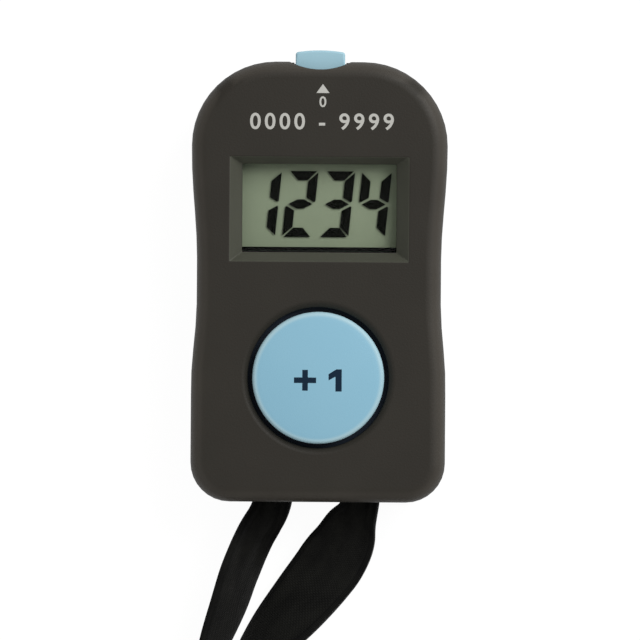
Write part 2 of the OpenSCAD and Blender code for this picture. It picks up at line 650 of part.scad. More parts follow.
// Least gap between parts of the hank that aren't neighbours along it
hank_gap = min([for (i = [0:len(hank_path) - 1]) for (j = [i + 8:1:len(hank_path) - 1])
    norm(hank_path[i] - hank_path[j])]) - ribbon_t;
function path_length(p) = len(p) < 2 ? 0 : [for (k = 0, s = 0; k < len(p); k = k + 1,
    s = s + (k < len(p) ? norm(p[k] - p[k - 1]) : 0)) s][len(p) - 1];
module lanyard_hank() color(black) {
    echo(hank_gap = hank_gap, hank_length = path_length(hank_path));
    last = len(hank_path) - 1;
    skin([for (k = [0:last]) let (way = k == 0 ? [0, -1, 0] : k == last ? [0, 1, 0]
            : hank_path[k + 1] - hank_path[k - 1])
        ribbon_ring(hank_path[k], way, ribbon_w, ribbon_t, 90, 6)]);
}
// Strip round the hank's waist
module lanyard_tie() color(black) {
    gap = 0.25;
    mid = 1 - hank_waist;
    w = (2 * hank_half - hank_step) * mid + ribbon_t + 2 * gap;
    h = ribbon_w + 2 * gap;
    translate([hank_x - hank_step / 2 * mid, hank_top - hank_run / 2 + tie_w / 2, hank_z]) rotate([90, 0, 0])
        linear_extrude(tie_w) difference() {
            rounded_square(w + 2 * tie_t, h + 2 * tie_t, 1.2);
            rounded_square(w, h, 0.7);
        }
}

front_shell();
rear_shell();
window_lens();
lcd_polariser();
lcd_front_glass();
lcd_rear_glass();
lcd_reflector();
lcd_holder();
zebra_strip();
circuit_board();
chip_blob();
crystal();
chip_parts();
contact_pads();
count_button();
count_dome();
carbon_pill();
reset_button();
reset_switch();
switch_plunger();
button_cell();
cell_contact_minus();
cell_contact_plus();
battery_door();
case_screws();
board_screws();
lanyard_pin();
lanyard_eyes();
lanyard_left();
lanyard_right();
lanyard_hank();
lanyard_tie();
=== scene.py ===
"""Looks of an electronic hand tally counter: moulded case, display, two buttons and a ribbon lanyard."""

import math

import bmesh
import bpy
from mathutils import Matrix, Vector


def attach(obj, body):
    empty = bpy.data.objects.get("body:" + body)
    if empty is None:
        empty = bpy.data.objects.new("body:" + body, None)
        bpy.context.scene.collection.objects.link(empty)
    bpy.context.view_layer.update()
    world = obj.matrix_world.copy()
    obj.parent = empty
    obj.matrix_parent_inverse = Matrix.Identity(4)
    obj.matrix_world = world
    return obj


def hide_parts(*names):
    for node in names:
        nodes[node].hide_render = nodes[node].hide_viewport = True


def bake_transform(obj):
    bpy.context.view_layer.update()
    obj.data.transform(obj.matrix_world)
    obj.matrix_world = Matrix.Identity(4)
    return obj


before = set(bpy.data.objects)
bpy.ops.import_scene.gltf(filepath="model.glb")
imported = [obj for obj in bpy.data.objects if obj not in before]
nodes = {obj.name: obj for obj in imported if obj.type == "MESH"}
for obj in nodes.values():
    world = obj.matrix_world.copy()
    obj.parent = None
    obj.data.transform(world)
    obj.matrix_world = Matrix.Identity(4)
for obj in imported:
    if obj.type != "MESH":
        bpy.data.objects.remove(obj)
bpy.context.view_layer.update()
scene = bpy.context.scene

# Sizes are in millimetres, as in the part's source, and each finished mesh is brought to metres
MM = 0.001
# Points of a drawn shape that are closer than this are one point
SAME_POINT = 0.0005
# Points of a solid's copy that are closer than this, in metres, are one point
SAME_SOLID_POINT = 2e-6
# Faces that turn by fewer degrees than this are one flat face
FLAT = 0.4
# Edges that turn by more degrees than this are sharp
SHARP = 34.0

# Case: height of its face, rounding of its front and back edges, and where its outside walls begin
FACE_Z = 15.0
FACE_ROUND = 2.4
BACK_ROUND = 1.8
WALL_X = 16.9
WALL_Y = 31.4
# Edges that show: those above the front shell's ledge, those round the rims where the shells part,
# those on the backs of the rear shell and the door, and those at the reset button's outer end
LEDGE_Z = 13.02
FRONT_RIM_Z = 7.6
REAR_RIM_Z = (7.3, 7.4)
BACK_Z = 0.02
DOOR_BACK_Z = 0.3
RESET_END_Y = 31.0
# How far these edges are rounded
FRONT_BREAK = 0.18
PLAIN_BREAK = 0.12
RESET_BREAK = 0.35
TIE_BREAK = 0.15
# Worn edges: where they begin, and the slope from which they look worn
WORN_X = 14.8
WORN_Y = 29.3
WORN_SLOPE = 0.35
WORN_MARK = "worn"
# Window with its sloping sides: middle, half width, half height, foot of its slopes, and rise of a level face
WINDOW_Y = 10.7
WINDOW_REACH_X = 13.4
WINDOW_REACH_Y = 8.4
WINDOW_FOOT_Z = 13.05
LEVEL = 0.95

# Digits of the display: middle, first place, pitch, size, width of a bar, slant, height and thickness
DIGIT_Y = 11.36
DIGIT_X = -8.12
DIGIT_PITCH = 5.34
DIGIT_W = 4.3
DIGIT_H = 9.6
BAR_W = 1.35
DIGIT_SLANT = 0.1
CRYSTAL_Z = 10.95
BAR_T = 0.02
# Gaps at the ends of the bars: outer and inner corners, tips and shoulders of the middle bar
OUTER_GAP = 0.2
INNER_GAP = 0.1
MIDDLE_TIP = 0.4
MIDDLE_SHOULDER = 0.3
# Heights of a side bar's foot over the middle of the digit: inside, at its point and outside
SIDE_FOOT = (0.95, 0.3, 0.4)
# Clear plates over the liquid crystal: middle, width, height, bottom and top, and broken edges
PLATE_Y = 10.6
PLATE_W = 25.5
PLATE_H = 16.0
PLATE_Z = (10.75, 11.6)
PLATE_BREAK = 0.08

# Count button: middle, radius, edge height, crown height, edge rounding and flange
COUNT_Y = -13.9
COUNT_R = 9.55
COUNT_EDGE_Z = 15.9
COUNT_CROWN = 0.5
COUNT_EDGE_R = 0.6
COUNT_FLANGE_R = 11.2
FLANGE_Z = (11.9, 12.9)
# Its hollow underside: post in the middle, ceiling and wall
POST_R = 4.2
HOLLOW_Z = 14.0
COUNT_WALL = 1.3
# Steps of its rounded edge in degrees, rings of its crown and steps round it
EDGE_ANGLES = range(0, 81, 10)
CROWN_RINGS = 12
COUNT_STEPS = 128
# Its paler ring, a painted highlight of the rounded rim: start and end, inwards from its radius
PAINTED_RIM_HIGHLIGHT = (0.9, 0.3)
# Faces of the cap up to this height above its flange get the dark navy of the painted shade in the gap
PAINTED_SHADE_RISE = 0.1
# Heights between which the dome gives way as the button goes down, and between which its pill joins it
DOME_BENDS_Z = (8.8, 10.9)
PILL_MOVES_Z = (8.9, 9.6)

# Print: share of a line that its figures take, curve steps, longest edge before it is cut, and cuts.
# Then the film of ink and how far it sinks in.
FIGURE_SHARE = 0.7
FIGURE_STEPS = 6
PRINT_EDGE = 0.6
PRINT_CUTS = 2
INK_T = 0.025
INK_SINK = 0.01

# Lanyard: ribbon across and through, gathered for its slot, with pleats, and its columns of faces
RIBBON_W = 10.0
RIBBON_T = 0.9
GATHERED_W = 5.2
PLEATS = 2.0
PLEAT_RISE = 0.5
RIBBON_COLUMNS = 12
RIBBON_SHARP = 60.0

# Patterns: slow changes of tone in plastic, lines and dull patches in metal, haze on clear plates
TONE = 9.0
LINES = 0.12
DULL = 1.6
HAZE = 2.5
# Weave: distance of its threads, loose fibres, lengths along and across it of the lighter and darker streaks
# that paint the sheen of folds, and relief
THREAD = 0.62
FUZZ = 0.3
PAINTED_SHEEN_STREAK = (14.0, 2.4)
RELIEF = 0.09
# Shares of the ribbon's half width between which its firm selvedge starts
SELVEDGE = (0.81, 0.84)

# Stage: floor from its middle, its gap under the part, its white, the share of that white where it is seen,
# and the light from all round
FLOOR_REACH = 3000.0
FLOOR_GAP = 0.2
FLOOR_WHITE = 1.06
FLOOR_SHARE = 0.9
WORLD_LIGHT = 0.42
# Camera: place, roll in degrees, sensor, and the width that it sees at the face
CAMERA = (0.2, -5.53, 665.0)
CAMERA_ROLL = 0.4
SENSOR_W = 36.0
VIEW_W = 92.7


# Materials


def srgb(red, green, blue):
    """Linear colour of the screen colour that a surface shows."""
    levels = [level / 255 for level in (red, green, blue)]
    return (*[c / 12.92 if c <= 0.04045 else ((c + 0.055) / 1.055) ** 2.4 for c in levels], 1.0)


class Wire:
    """One output of a node. Arithmetic on it adds Math nodes to its material."""

    def __init__(self, finish, socket):
        self.finish = finish
        self.socket = socket

    def other(self, output):
        """Another output of the same node."""
        return Wire(self.finish, self.socket.node.outputs[output])

    def maths(self, operation, first, second=0.0):
        return self.finish.node("ShaderNodeMath", {"operation": operation}, {0: first, 1: second})

    def __add__(self, other):
        return self.maths("ADD", self, other)

    def __sub__(self, other):
        return self.maths("SUBTRACT", self, other)

    def __rsub__(self, other):
        return self.maths("SUBTRACT", other, self)

    def __mul__(self, other):
        return self.maths("MULTIPLY", self, other)

    __radd__ = __add__
    __rmul__ = __mul__

    def root(self):
        return self.maths("SQRT", self)

    def sine(self):
        return self.maths("SINE", self)

    def size(self):
        return self.maths("ABSOLUTE", self)

    def floor(self):
        return self.maths("FLOOR", self)

    def most(self, other):
        return self.maths("MAXIMUM", self, other)


class Finish:
    """A procedural material with one Principled shader."""

    def __init__(self, name, **constants):
        self.material = bpy.data.materials.new(name)
        self.material.use_nodes = True
        self.tree = self.material.node_tree
        self.shader = self.tree.nodes["Principled BSDF"]
        self.place = self.node("ShaderNodeTexCoord", output="Object")
        for socket, value in constants.items():
            self.set(socket, value)

    def node(self, kind, settings=None, inputs=None, output=0):
        """Adds a node: its settings first, then the values or links of its sockets."""
        made = self.tree.nodes.new(kind)
        for name, value in (settings or {}).items():
            setattr(made, name, value)
        for name, value in (inputs or {}).items():
            self.join(made.inputs[name], value)
        return Wire(self, made.outputs[output])

    def join(self, socket, value):
        """Gives a socket a value or a link."""
        if isinstance(value, Wire):
            self.tree.links.new(value.socket, socket)
        else:
            socket.default_value = value

    def set(self, name, value):
        """A value or link for one of the shader's sockets, written with underscores."""
        self.join(self.shader.inputs[name.replace("_", " ").title().replace("Ior", "IOR")], value)

    def surface(self, first, second, factor):
        """Shows a mix of two shaders in place of the Principled shader alone."""
        mixed = self.node("ShaderNodeMixShader", {}, {0: factor, 1: first, 2: second})
        self.join(self.tree.nodes["Material Output"].inputs["Surface"], mixed)

    def noise(self, size, detail=3.0, roughness=0.5, along=(1, 1, 1)):
        """Soft noise with patches of about that size in millimetres, drawn out along an axis."""
        where = self.node("ShaderNodeMapping", {}, {"Vector": self.place, "Scale": along})
        return self.node("ShaderNodeTexNoise", {}, {
            "Vector": where, "Scale": 1 / (size * MM), "Detail": detail, "Roughness": roughness})

    def rising(self, value, start, end):
        """0 to 1, smoothly, as a value goes from start to end."""
        return self.node("ShaderNodeMapRange", {"interpolation_type": "SMOOTHSTEP"}, {
            "Value": value, "From Min": start, "From Max": end})

    def beyond(self, middle_y, start, end):
        """0 to 1 between two distances in millimetres from an upright axis on the middle plane."""
        x = self.node("ShaderNodeSeparateXYZ", {}, {0: self.place})
        y = x.other("Y") - middle_y * MM
        return self.rising((x * x + y * y).root(), start * MM, end * MM)

    def blend(self, first, second, factor):
        """Colour between two colours."""
        return self.node("ShaderNodeMix", {"data_type": "RGBA"}, {0: factor, 6: first, 7: second}, output=2)

    def bump(self, height, depth):
        """Surface relief of that depth in millimetres."""
        self.set("normal", self.node("ShaderNodeBump", {}, {
            "Height": height, "Distance": depth * MM, "Strength": 1.0}))


def moulded(name, colour, tint, roughness=0.5, grain=0.16, depth=0.012, rim=None, worn=None, **constants):
    """Moulded plastic with a fine grain, a slow change of tone and, if asked, a paler rim that is a painted
    highlight, or worn edges.
    """
    finish = Finish(name, **constants)
    tone = finish.noise(TONE, 2.0)
    speck = finish.noise(grain, 2.0, 0.6)
    shade = finish.blend(colour, tint, tone * 0.7 + speck * 0.3)
    # Paler ring at a distance from an upright axis: a painted highlight
    if rim:
        pale, middle_y, start, end = rim
        shade = finish.blend(shade, pale, finish.beyond(middle_y, start, end) * (0.4 + tone * 0.5))
    matt = roughness - 0.1 + speck * 0.14 + tone * 0.06
    if worn:
        rubbed = finish.node("ShaderNodeAttribute", {"attribute_name": WORN_MARK}, output="Fac")
        shade = finish.blend(shade, worn, rubbed * (0.5 + tone * 0.5))
        matt = matt - rubbed * 0.08
    finish.set("base_color", shade)
    finish.set("roughness", matt)
    finish.bump(speck, depth)
    return finish.material


def metal(name, colour, roughness, brushed=(1, 1, 1)):
    """Metal with fine lines of its last working and a few duller patches."""
    finish = Finish(name, metallic=1.0)
    lines = finish.noise(LINES, 3.0, 0.6, brushed)
    dull = finish.noise(DULL, 3.0)
    darker = tuple(0.72 * level for level in colour[:3]) + (1.0,)
    finish.set("base_color", finish.blend(colour, darker, dull * 0.6))
    finish.set("roughness", roughness + lines * 0.12 + dull * 0.08)
    finish.bump(lines, 0.004)
    return finish.material


def clear(name, tint, gloss):
    """Clear plate: it lets light through straight and reflects more towards its edges."""
    finish = Finish(name)
    through = finish.node("ShaderNodeBsdfTransparent", {}, {"Color": tint})
    mirror = finish.node("ShaderNodeBsdfGlossy", {}, {"Roughness": 0.06})
    rim = finish.node("ShaderNodeLayerWeight", {}, {"Blend": 0.12}, output="Fresnel")
    finish.surface(through, mirror, rim * gloss + finish.noise(HAZE, 3.0) * 0.006)
    return finish.material


def cloth(name):
    """Start of a woven finish: matt, with a little sheen."""
    return Finish(name, sheen_weight=0.03, sheen_roughness=0.4, specular_ior_level=0.12)


def threads(along, across):
    """Height of threads that pass over and under each other, and of the rows they make."""
    turn = (along.floor() * (math.pi / 2) + across * math.pi).sine().size()
    ridge = (along * math.pi).sine().size()
    return turn, ridge


def dyed(finish, colour, thread_colour, height, paler):
    """Woven finish with the colours, roughness and relief of threads of that height, and loose fibres, made
    paler or darker by a share that carries painted sheen.
    """
    fuzz = finish.noise(FUZZ, 4.0, 0.65)
    finish.set("base_color", finish.blend(colour, thread_colour, height * 0.45 + fuzz * 0.2 + paler))
    finish.set("roughness", 0.85 - height * 0.2 + fuzz * 0.1)
    finish.bump(height + fuzz * 0.4, RELIEF)
    return finish.material


def banded(name, colour, thread_colour):
    """Narrow woven band with its threads on the piece's own axes: rows round it and threads across it, with
    patches of painted sheen.
    """
    finish = cloth(name)
    x = finish.node("ShaderNodeSeparateXYZ", {}, {0: finish.place})
    per_thread = 1 / (THREAD * MM)
    turn, ridge = threads((x + x.other("Z")) * per_thread, x.other("Y") * per_thread)
    # Lighter and darker patches: painted sheen
    painted_sheen = finish.noise(PAINTED_SHEEN_STREAK[1], 2.0)
    return dyed(finish, colour, thread_colour, turn * 0.6 + ridge * 0.4, painted_sheen * 1.6 - 0.6)


def woven(name, colour, thread_colour, length, width):
    """Woven ribbon with firm selvedges, its threads along the piece's own UV map, and streaks of painted
    sheen along its length.
    """
    finish = cloth(name)
    uv = finish.node("ShaderNodeTexCoord", output="UV")
    split = finish.node("ShaderNodeSeparateXYZ", {}, {0: uv})
    along = split * (length / THREAD)
    across = split.other("Y") * (width / THREAD)
    turn, ridge = threads(along, across)
    edge = finish.rising((across * (2 * THREAD / width) - 1.0).size(), *SELVEDGE)
    rib = (across * (2 * math.pi)).sine().size()
    height = (turn * 0.6 + ridge * 0.4) * (1 - edge) + (rib * 0.5 + ridge * 0.3) * edge
    # Streaks drawn out along the ribbon: painted sheen of soft folds
    drawn_out = finish.node("ShaderNodeCombineXYZ", {}, {
        0: along * (THREAD / PAINTED_SHEEN_STREAK[0]), 1: across * (THREAD / PAINTED_SHEEN_STREAK[1])})
    painted_sheen = finish.node("ShaderNodeTexNoise", {}, {"Vector": drawn_out, "Scale": 1.0, "Detail": 2.0})
    return dyed(finish, colour, thread_colour, height, painted_sheen * 1.6 - 0.6 - edge * 0.3)


# Plastics, with a base colour and a tint that it wanders to
CASE_GREY = moulded(
    "case_grey", srgb(40, 37, 32), srgb(49, 46, 40), roughness=0.55, grain=0.3, depth=0.03,
    worn=srgb(70, 66, 60), specular_ior_level=0.2)
BUTTON_BLUE = moulded(
    "button_blue", srgb(148, 188, 204), srgb(160, 196, 208), grain=0.2, depth=0.008, specular_ior_level=0.35)
# The count button's paler ring near its edge is a painted highlight of its rounded rim
COUNT_BLUE = moulded(
    "count_blue", srgb(130, 180, 202), srgb(140, 186, 206), grain=0.2, depth=0.008,
    rim=(srgb(178, 206, 212), COUNT_Y, COUNT_R - PAINTED_RIM_HIGHLIGHT[0], COUNT_R - PAINTED_RIM_HIGHLIGHT[1]), specular_ior_level=0.35)
# Lighter grey of the window's sloping sides: a painted highlight, as if they were lit
WINDOW_PAINTED_HIGHLIGHT = moulded("window_painted_highlight", srgb(66, 67, 58), srgb(74, 75, 65), specular_ior_level=0.25)
# Dark navy for the count cap's flange: painted shade of the deep gap round the button
FLANGE_PAINTED_SHADE = moulded(
    "flange_painted_shade", srgb(18, 26, 38), srgb(26, 35, 48), roughness=0.6, specular_ior_level=0.2)
DISPLAY_GREEN = moulded(
    "display_green", srgb(138, 149, 125), srgb(148, 158, 135), roughness=0.7, grain=0.09, depth=0.004,
    specular_ior_level=0.1)
SEGMENT_BLACK = moulded(
    "segment_black", srgb(4, 6, 3), srgb(9, 11, 7), roughness=0.8, specular_ior_level=0.02)
PRINT_GREY = moulded(
    "print_grey", srgb(176, 175, 169), srgb(192, 191, 185), roughness=0.7, grain=0.12, depth=0.003,
    specular_ior_level=0.1)
PRINT_NAVY = moulded(
    "print_navy", srgb(16, 34, 52), srgb(22, 42, 60), roughness=0.7, grain=0.12, depth=0.003,
    specular_ior_level=0.1)
HOLDER_BLACK = moulded(
    "holder_black", srgb(20, 21, 18), srgb(27, 28, 25), roughness=0.6, specular_ior_level=0.2)
RUBBER_BLACK = moulded(
    "rubber_black", srgb(22, 22, 21), srgb(30, 30, 28), roughness=0.75, specular_ior_level=0.2)
CARBON = moulded("carbon", srgb(30, 30, 31), srgb(46, 46, 47), roughness=0.6)
RESIN_BLACK = moulded(
    "resin_black", srgb(18, 18, 18), srgb(26, 26, 26), roughness=0.3, grain=1.2, depth=0.02)
CERAMIC_TAN = moulded("ceramic_tan", srgb(176, 148, 108), srgb(192, 166, 126))
SILICONE = moulded(
    "silicone", srgb(206, 206, 199), srgb(219, 219, 212), roughness=0.55, specular_ior_level=0.3)
BOARD_GREEN = moulded(
    "board_green", srgb(20, 76, 44), srgb(30, 92, 55), roughness=0.35, grain=0.3, depth=0.006)
SWITCH_WHITE = moulded("switch_white", srgb(216, 216, 212), srgb(228, 228, 224), roughness=0.45)
# Metals, the turned ones with lines drawn out upwards
STEEL = metal("steel", srgb(196, 196, 192), roughness=0.28)
TURNED_STEEL = metal("turned_steel", srgb(188, 188, 184), roughness=0.3, brushed=(1, 1, 0.08))
GOLD = metal("gold", srgb(212, 176, 96), roughness=0.25)
# Clear plates
LENS_CLEAR = clear("lens_clear", (0.988, 0.99, 0.988, 1.0), gloss=0.5)
GLASS_CLEAR = clear("glass_clear", (0.988, 0.992, 0.986, 1.0), gloss=0.15)


# Mesh helpers


def finished(name, form, body, material, replaced=(), sharp=SHARP):
    """Object of a bmesh in metres, shaded smooth up to an angle, that rides on its body if it has one."""
    mesh = bpy.data.meshes.new(name)
    form.to_mesh(mesh)
    form.free()
    mesh.shade_smooth()
    mesh.set_sharp_from_angle(angle=math.radians(sharp))
    mesh.materials.append(material)
    piece = bpy.data.objects.new(name, mesh)
    scene.collection.objects.link(piece)
    if body:
        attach(piece, body)
    if replaced:
        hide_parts(*replaced)
    return piece


def drawn(name, form, body, material, replaced=()):
    """Finished piece of a bmesh drawn in millimetres."""
    bmesh.ops.remove_doubles(form, verts=form.verts[:], dist=SAME_POINT)
    bmesh.ops.recalc_face_normals(form, faces=form.faces[:])
    bmesh.ops.scale(form, verts=form.verts[:], vec=(MM, MM, MM))
    return finished(name, form, body, material, replaced)


def merged(node):
    """Copy of a solid in one skin, without the edges inside its flat faces."""
    form = bmesh.new()
    form.from_mesh(nodes[node].data)
    bmesh.ops.remove_doubles(form, verts=form.verts[:], dist=SAME_SOLID_POINT)
    bmesh.ops.dissolve_limit(
        form, angle_limit=math.radians(FLAT), verts=form.verts[:], edges=form.edges[:])
    return form


def softened(name, node, body, material, width, where=lambda place: True, segments=2):
    """Copy of a solid with its sharp edges rounded by a width in millimetres, where they show."""
    form = merged(node)
    edges = [edge for edge in form.edges
             if edge.is_manifold and edge.calc_face_angle() > math.radians(SHARP)
             and where((edge.verts[0].co + edge.verts[1].co) / 2 / MM)]
    bmesh.ops.bevel(
        form, geom=edges, offset=width * MM, offset_type="OFFSET", affect="EDGES", segments=segments,
        profile=0.5, material=-1, clamp_overlap=False)
    piece = finished(name, form, body, material, [node])
    even = piece.modifiers.new("even_shading", "WEIGHTED_NORMAL")
    even.keep_sharp = True
    return piece


def raised(form, faces, rise):
    """Gives flat faces a thickness, upwards."""
    made = bmesh.ops.extrude_face_region(form, geom=faces)["geom"]
    top = [part for part in made if isinstance(part, bmesh.types.BMVert)]
    bmesh.ops.translate(form, verts=top, vec=(0, 0, rise))


# Case: both moulded shells, the battery door and the reset button, with the edges that show broken


def on_wall(place):
    """True on the outside walls of the case."""
    return abs(place.x) > WALL_X or abs(place.y) > WALL_Y


def front_shows(place):
    return place.z > LEDGE_Z or (place.z < FRONT_RIM_Z and on_wall(place))


def rear_shows(place):
    return place.z < BACK_Z or (REAR_RIM_Z[0] < place.z < REAR_RIM_Z[1] and on_wall(place))


def wear(piece):
    """Marks the round outer edges of a shell: most where they slope, and not on its flats."""
    marks = piece.data.attributes.new(WORN_MARK, "FLOAT", "POINT")
    for vertex, mark in zip(piece.data.vertices, marks.data):
        x, y, z = vertex.co / MM
        outside = abs(x) > WORN_X or abs(y) > WORN_Y
        if outside and not BACK_ROUND < z < FACE_Z - FACE_ROUND:
            upright = min(1.0, abs(vertex.normal.z))
            slope = 2 * upright * math.sqrt(1 - upright ** 2)
            mark.value = max(0.0, (slope - WORN_SLOPE) / (1 - WORN_SLOPE))


front = softened("front_case", "front_shell", "case", CASE_GREY, FRONT_BREAK, front_shows)
# The sloping sides of the window get a lighter grey: a painted highlight, standing in for the light that they
# catch
front.data.materials.append(WINDOW_PAINTED_HIGHLIGHT)
for face in front.data.polygons:
    x, y, z = face.center / MM
    in_window = abs(x) < WINDOW_REACH_X and abs(y - WINDOW_Y) < WINDOW_REACH_Y
    if in_window and z > WINDOW_FOOT_Z and face.normal.z < LEVEL:
        face.material_index = 1
rear = softened("rear_case", "rear_shell", "case", CASE_GREY, PLAIN_BREAK, rear_shows)
softened("door", "battery_door", "battery_door", CASE_GREY, PLAIN_BREAK, lambda place: place.z < DOOR_BACK_Z)
softened("reset_bar", "reset_button", "reset_button", BUTTON_BLUE, RESET_BREAK,
         lambda place: place.y > RESET_END_Y, segments=3)
# Hands have rubbed the round edges of both shells a little paler
wear(front)
wear(rear)


# Count button: a turned profile, hollow underneath


def crown_z(radius):
    """Height of the button's crown at a distance from its middle."""
    return COUNT_EDGE_Z + COUNT_CROWN * (1 - (radius / (COUNT_R - COUNT_EDGE_R)) ** 2)


def count_cap():
    """Cap turned from its outline: underside, flange, side, rounded edge and crown."""
    crown_r = COUNT_R - COUNT_EDGE_R
    hollow_r = COUNT_R - COUNT_WALL
    low, high = FLANGE_Z
    outline = [(0, low), (POST_R, low), (POST_R, HOLLOW_Z), (hollow_r, HOLLOW_Z), (hollow_r, low),
               (COUNT_FLANGE_R, low), (COUNT_FLANGE_R, high), (COUNT_R, high)]
    for angle in EDGE_ANGLES:
        outline.append((crown_r + COUNT_EDGE_R * math.cos(math.radians(angle)),
                        COUNT_EDGE_Z - COUNT_EDGE_R + COUNT_EDGE_R * math.sin(math.radians(angle))))
    for ring in range(1, CROWN_RINGS + 1):
        radius = crown_r * (1 - ring / CROWN_RINGS)
        outline.append((radius, crown_z(radius)))
    form = bmesh.new()
    points = [form.verts.new((x, 0, z)) for x, z in outline]
    edges = [form.edges.new(pair) for pair in zip(points, points[1:])]
    bmesh.ops.spin(form, geom=points + edges, cent=(0, 0, 0), axis=(0, 0, 1), angle=math.tau,
                   steps=COUNT_STEPS, use_merge=True)
    bmesh.ops.translate(form, verts=form.verts[:], vec=(0, COUNT_Y, 0))
    return form


count = drawn("count_cap", count_cap(), "count_button", COUNT_BLUE, ["count_button"])
# The flange under the face, deep in the gap, is painted dark navy: painted shade, standing in for the shadow
# in the gap
count.data.materials.append(FLANGE_PAINTED_SHADE)
for face in count.data.polygons:
    if face.center.z < (FLANGE_Z[1] + PAINTED_SHADE_RISE) * MM:
        face.material_index = 1


# Silicone dome under the cap and its carbon pill, copied in one skin and shaded smooth, with no body to ride
# on. In the counter the dome's foot stays on the board, and its crown and the pill go down with the cap.
for name, node, material, (low, high) in (
        ("dome", "count_dome", SILICONE, DOME_BENDS_Z), ("pill", "carbon_pill", CARBON, PILL_MOVES_Z)):
    soft = finished(name, merged(node), None, material, [node])
    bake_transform(soft)


# Display: the digits stand in the liquid crystal between the two glass plates
RIGHT = DIGIT_W / 2
TOP = DIGIT_H / 2
INNER = RIGHT - BAR_W
INNER_TOP = TOP - BAR_W
# Corners of a bar about the middle of its digit. The other bars are these, turned over.
TOP_BAR = [
    (-RIGHT + OUTER_GAP, TOP), (RIGHT - OUTER_GAP, TOP), (INNER - INNER_GAP, INNER_TOP),
    (INNER_GAP - INNER, INNER_TOP)]
MIDDLE_BAR = [
    (-RIGHT + MIDDLE_TIP, 0), (MIDDLE_SHOULDER - INNER, BAR_W / 2), (INNER - MIDDLE_SHOULDER, BAR_W / 2),
    (RIGHT - MIDDLE_TIP, 0), (INNER - MIDDLE_SHOULDER, -BAR_W / 2), (MIDDLE_SHOULDER - INNER, -BAR_W / 2)]
SIDE_BAR = [
    (RIGHT, TOP - OUTER_GAP), (INNER, INNER_TOP - INNER_GAP), (INNER, SIDE_FOOT[0]),
    (RIGHT - OUTER_GAP, SIDE_FOOT[1]), (RIGHT, SIDE_FOOT[2])]
LOWER = Matrix.Diagonal((1, -1, 1, 1))
LEFT = Matrix.Diagonal((-1, 1, 1, 1))
# The seven bars by their usual letters, from the top clockwise with the middle one last
BARS = {
    "a": (TOP_BAR, Matrix()), "b": (SIDE_BAR, Matrix()), "c": (SIDE_BAR, LOWER), "d": (TOP_BAR, LOWER),
    "e": (SIDE_BAR, LEFT @ LOWER), "f": (SIDE_BAR, LEFT), "g": (MIDDLE_BAR, Matrix()),
}
# Bars of the digits 1, 2, 3 and 4
SHOWN = ["bc", "abged", "abgcd", "fgbc"]


def digits():
    """Thin dark bars of the digits, slanted, in their places."""
    form = bmesh.new()
    slant = Matrix(((1, DIGIT_SLANT, 0, 0), (0, 1, 0, 0), (0, 0, 1, 0), (0, 0, 0, 1)))
    for index, letters in enumerate(SHOWN):
        spot = Matrix.Translation((DIGIT_X + index * DIGIT_PITCH, DIGIT_Y, CRYSTAL_Z))
        for letter in letters:
            corners, turned = BARS[letter]
            place = spot @ slant @ turned
            face = form.faces.new([form.verts.new(place @ Vector((x, y, -BAR_T / 2))) for x, y in corners])
            raised(form, [face], BAR_T)
    return form


def plate():
    """Front glass with its polariser, as one clear plate."""
    form = bmesh.new()
    low, high = PLATE_Z
    bmesh.ops.create_cube(form, size=1.0)
    bmesh.ops.scale(form, verts=form.verts[:], vec=(PLATE_W, PLATE_H, high - low))
    bmesh.ops.translate(form, verts=form.verts[:], vec=(0, PLATE_Y, (low + high) / 2))
    bmesh.ops.bevel(form, geom=form.edges[:], offset=PLATE_BREAK, offset_type="OFFSET", affect="EDGES",
                    segments=2, profile=0.5, material=-1)
    return form


drawn("lcd_digits", digits(), "case", SEGMENT_BLACK)
drawn("lcd_plate", plate(), "case", GLASS_CLEAR, ["lcd_polariser", "lcd_front_glass"])
softened("lens", "window_lens", "case", LENS_CLEAR, PLAIN_BREAK)


# Printed marks: plain numbers on the face, and a plain step on the button


def on_face(x, y):
    """Height of the flat face, the same all over."""
    return FACE_Z


def on_crown(x, y):
    """Height of the button's crown at a point."""
    return crown_z(math.hypot(x, y - COUNT_Y))


def laid(name, form, middle, body, material, rest=on_face):
    """Flat print of a bmesh drawn about the origin: a thin film of ink on the surface under it."""
    bmesh.ops.remove_doubles(form, verts=form.verts[:], dist=SAME_POINT)
    bmesh.ops.triangulate(form, faces=form.faces[:])
    long_edges = [edge for edge in form.edges if edge.calc_length() > PRINT_EDGE]
    bmesh.ops.subdivide_edges(form, edges=long_edges, cuts=PRINT_CUTS, use_grid_fill=True)
    raised(form, form.faces[:], INK_T)
    for vertex in form.verts:
        x = vertex.co.x + middle[0]
        y = vertex.co.y + middle[1]
        vertex.co = (x, y, vertex.co.z + rest(x, y) - INK_SINK)
    drawn(name, form, body, material)


def mark(name, figures, height, middle, spacing, weight):
    """Printed figures, centred on a point of the face."""
    line = bpy.data.curves.new(name, "FONT")
    line.body = figures
    line.size = height / FIGURE_SHARE
    line.align_x = "CENTER"
    line.align_y = "CENTER"
    line.space_character = spacing
    line.offset = weight
    line.resolution_u = FIGURE_STEPS
    line_object = bpy.data.objects.new(name + "_line", line)
    scene.collection.objects.link(line_object)
    form = bmesh.new()
    form.from_mesh(bpy.data.meshes.new_from_object(line_object))
    bpy.data.objects.remove(line_object)
    laid(name, form, middle, "case", PRINT_GREY)


def outlines(*shapes):
    """Flat shapes from the corners of their outlines."""
    form = bmesh.new()
    for corners in shapes:
        form.faces.new([form.verts.new((x, y, 0)) for x, y in corners])
    return form


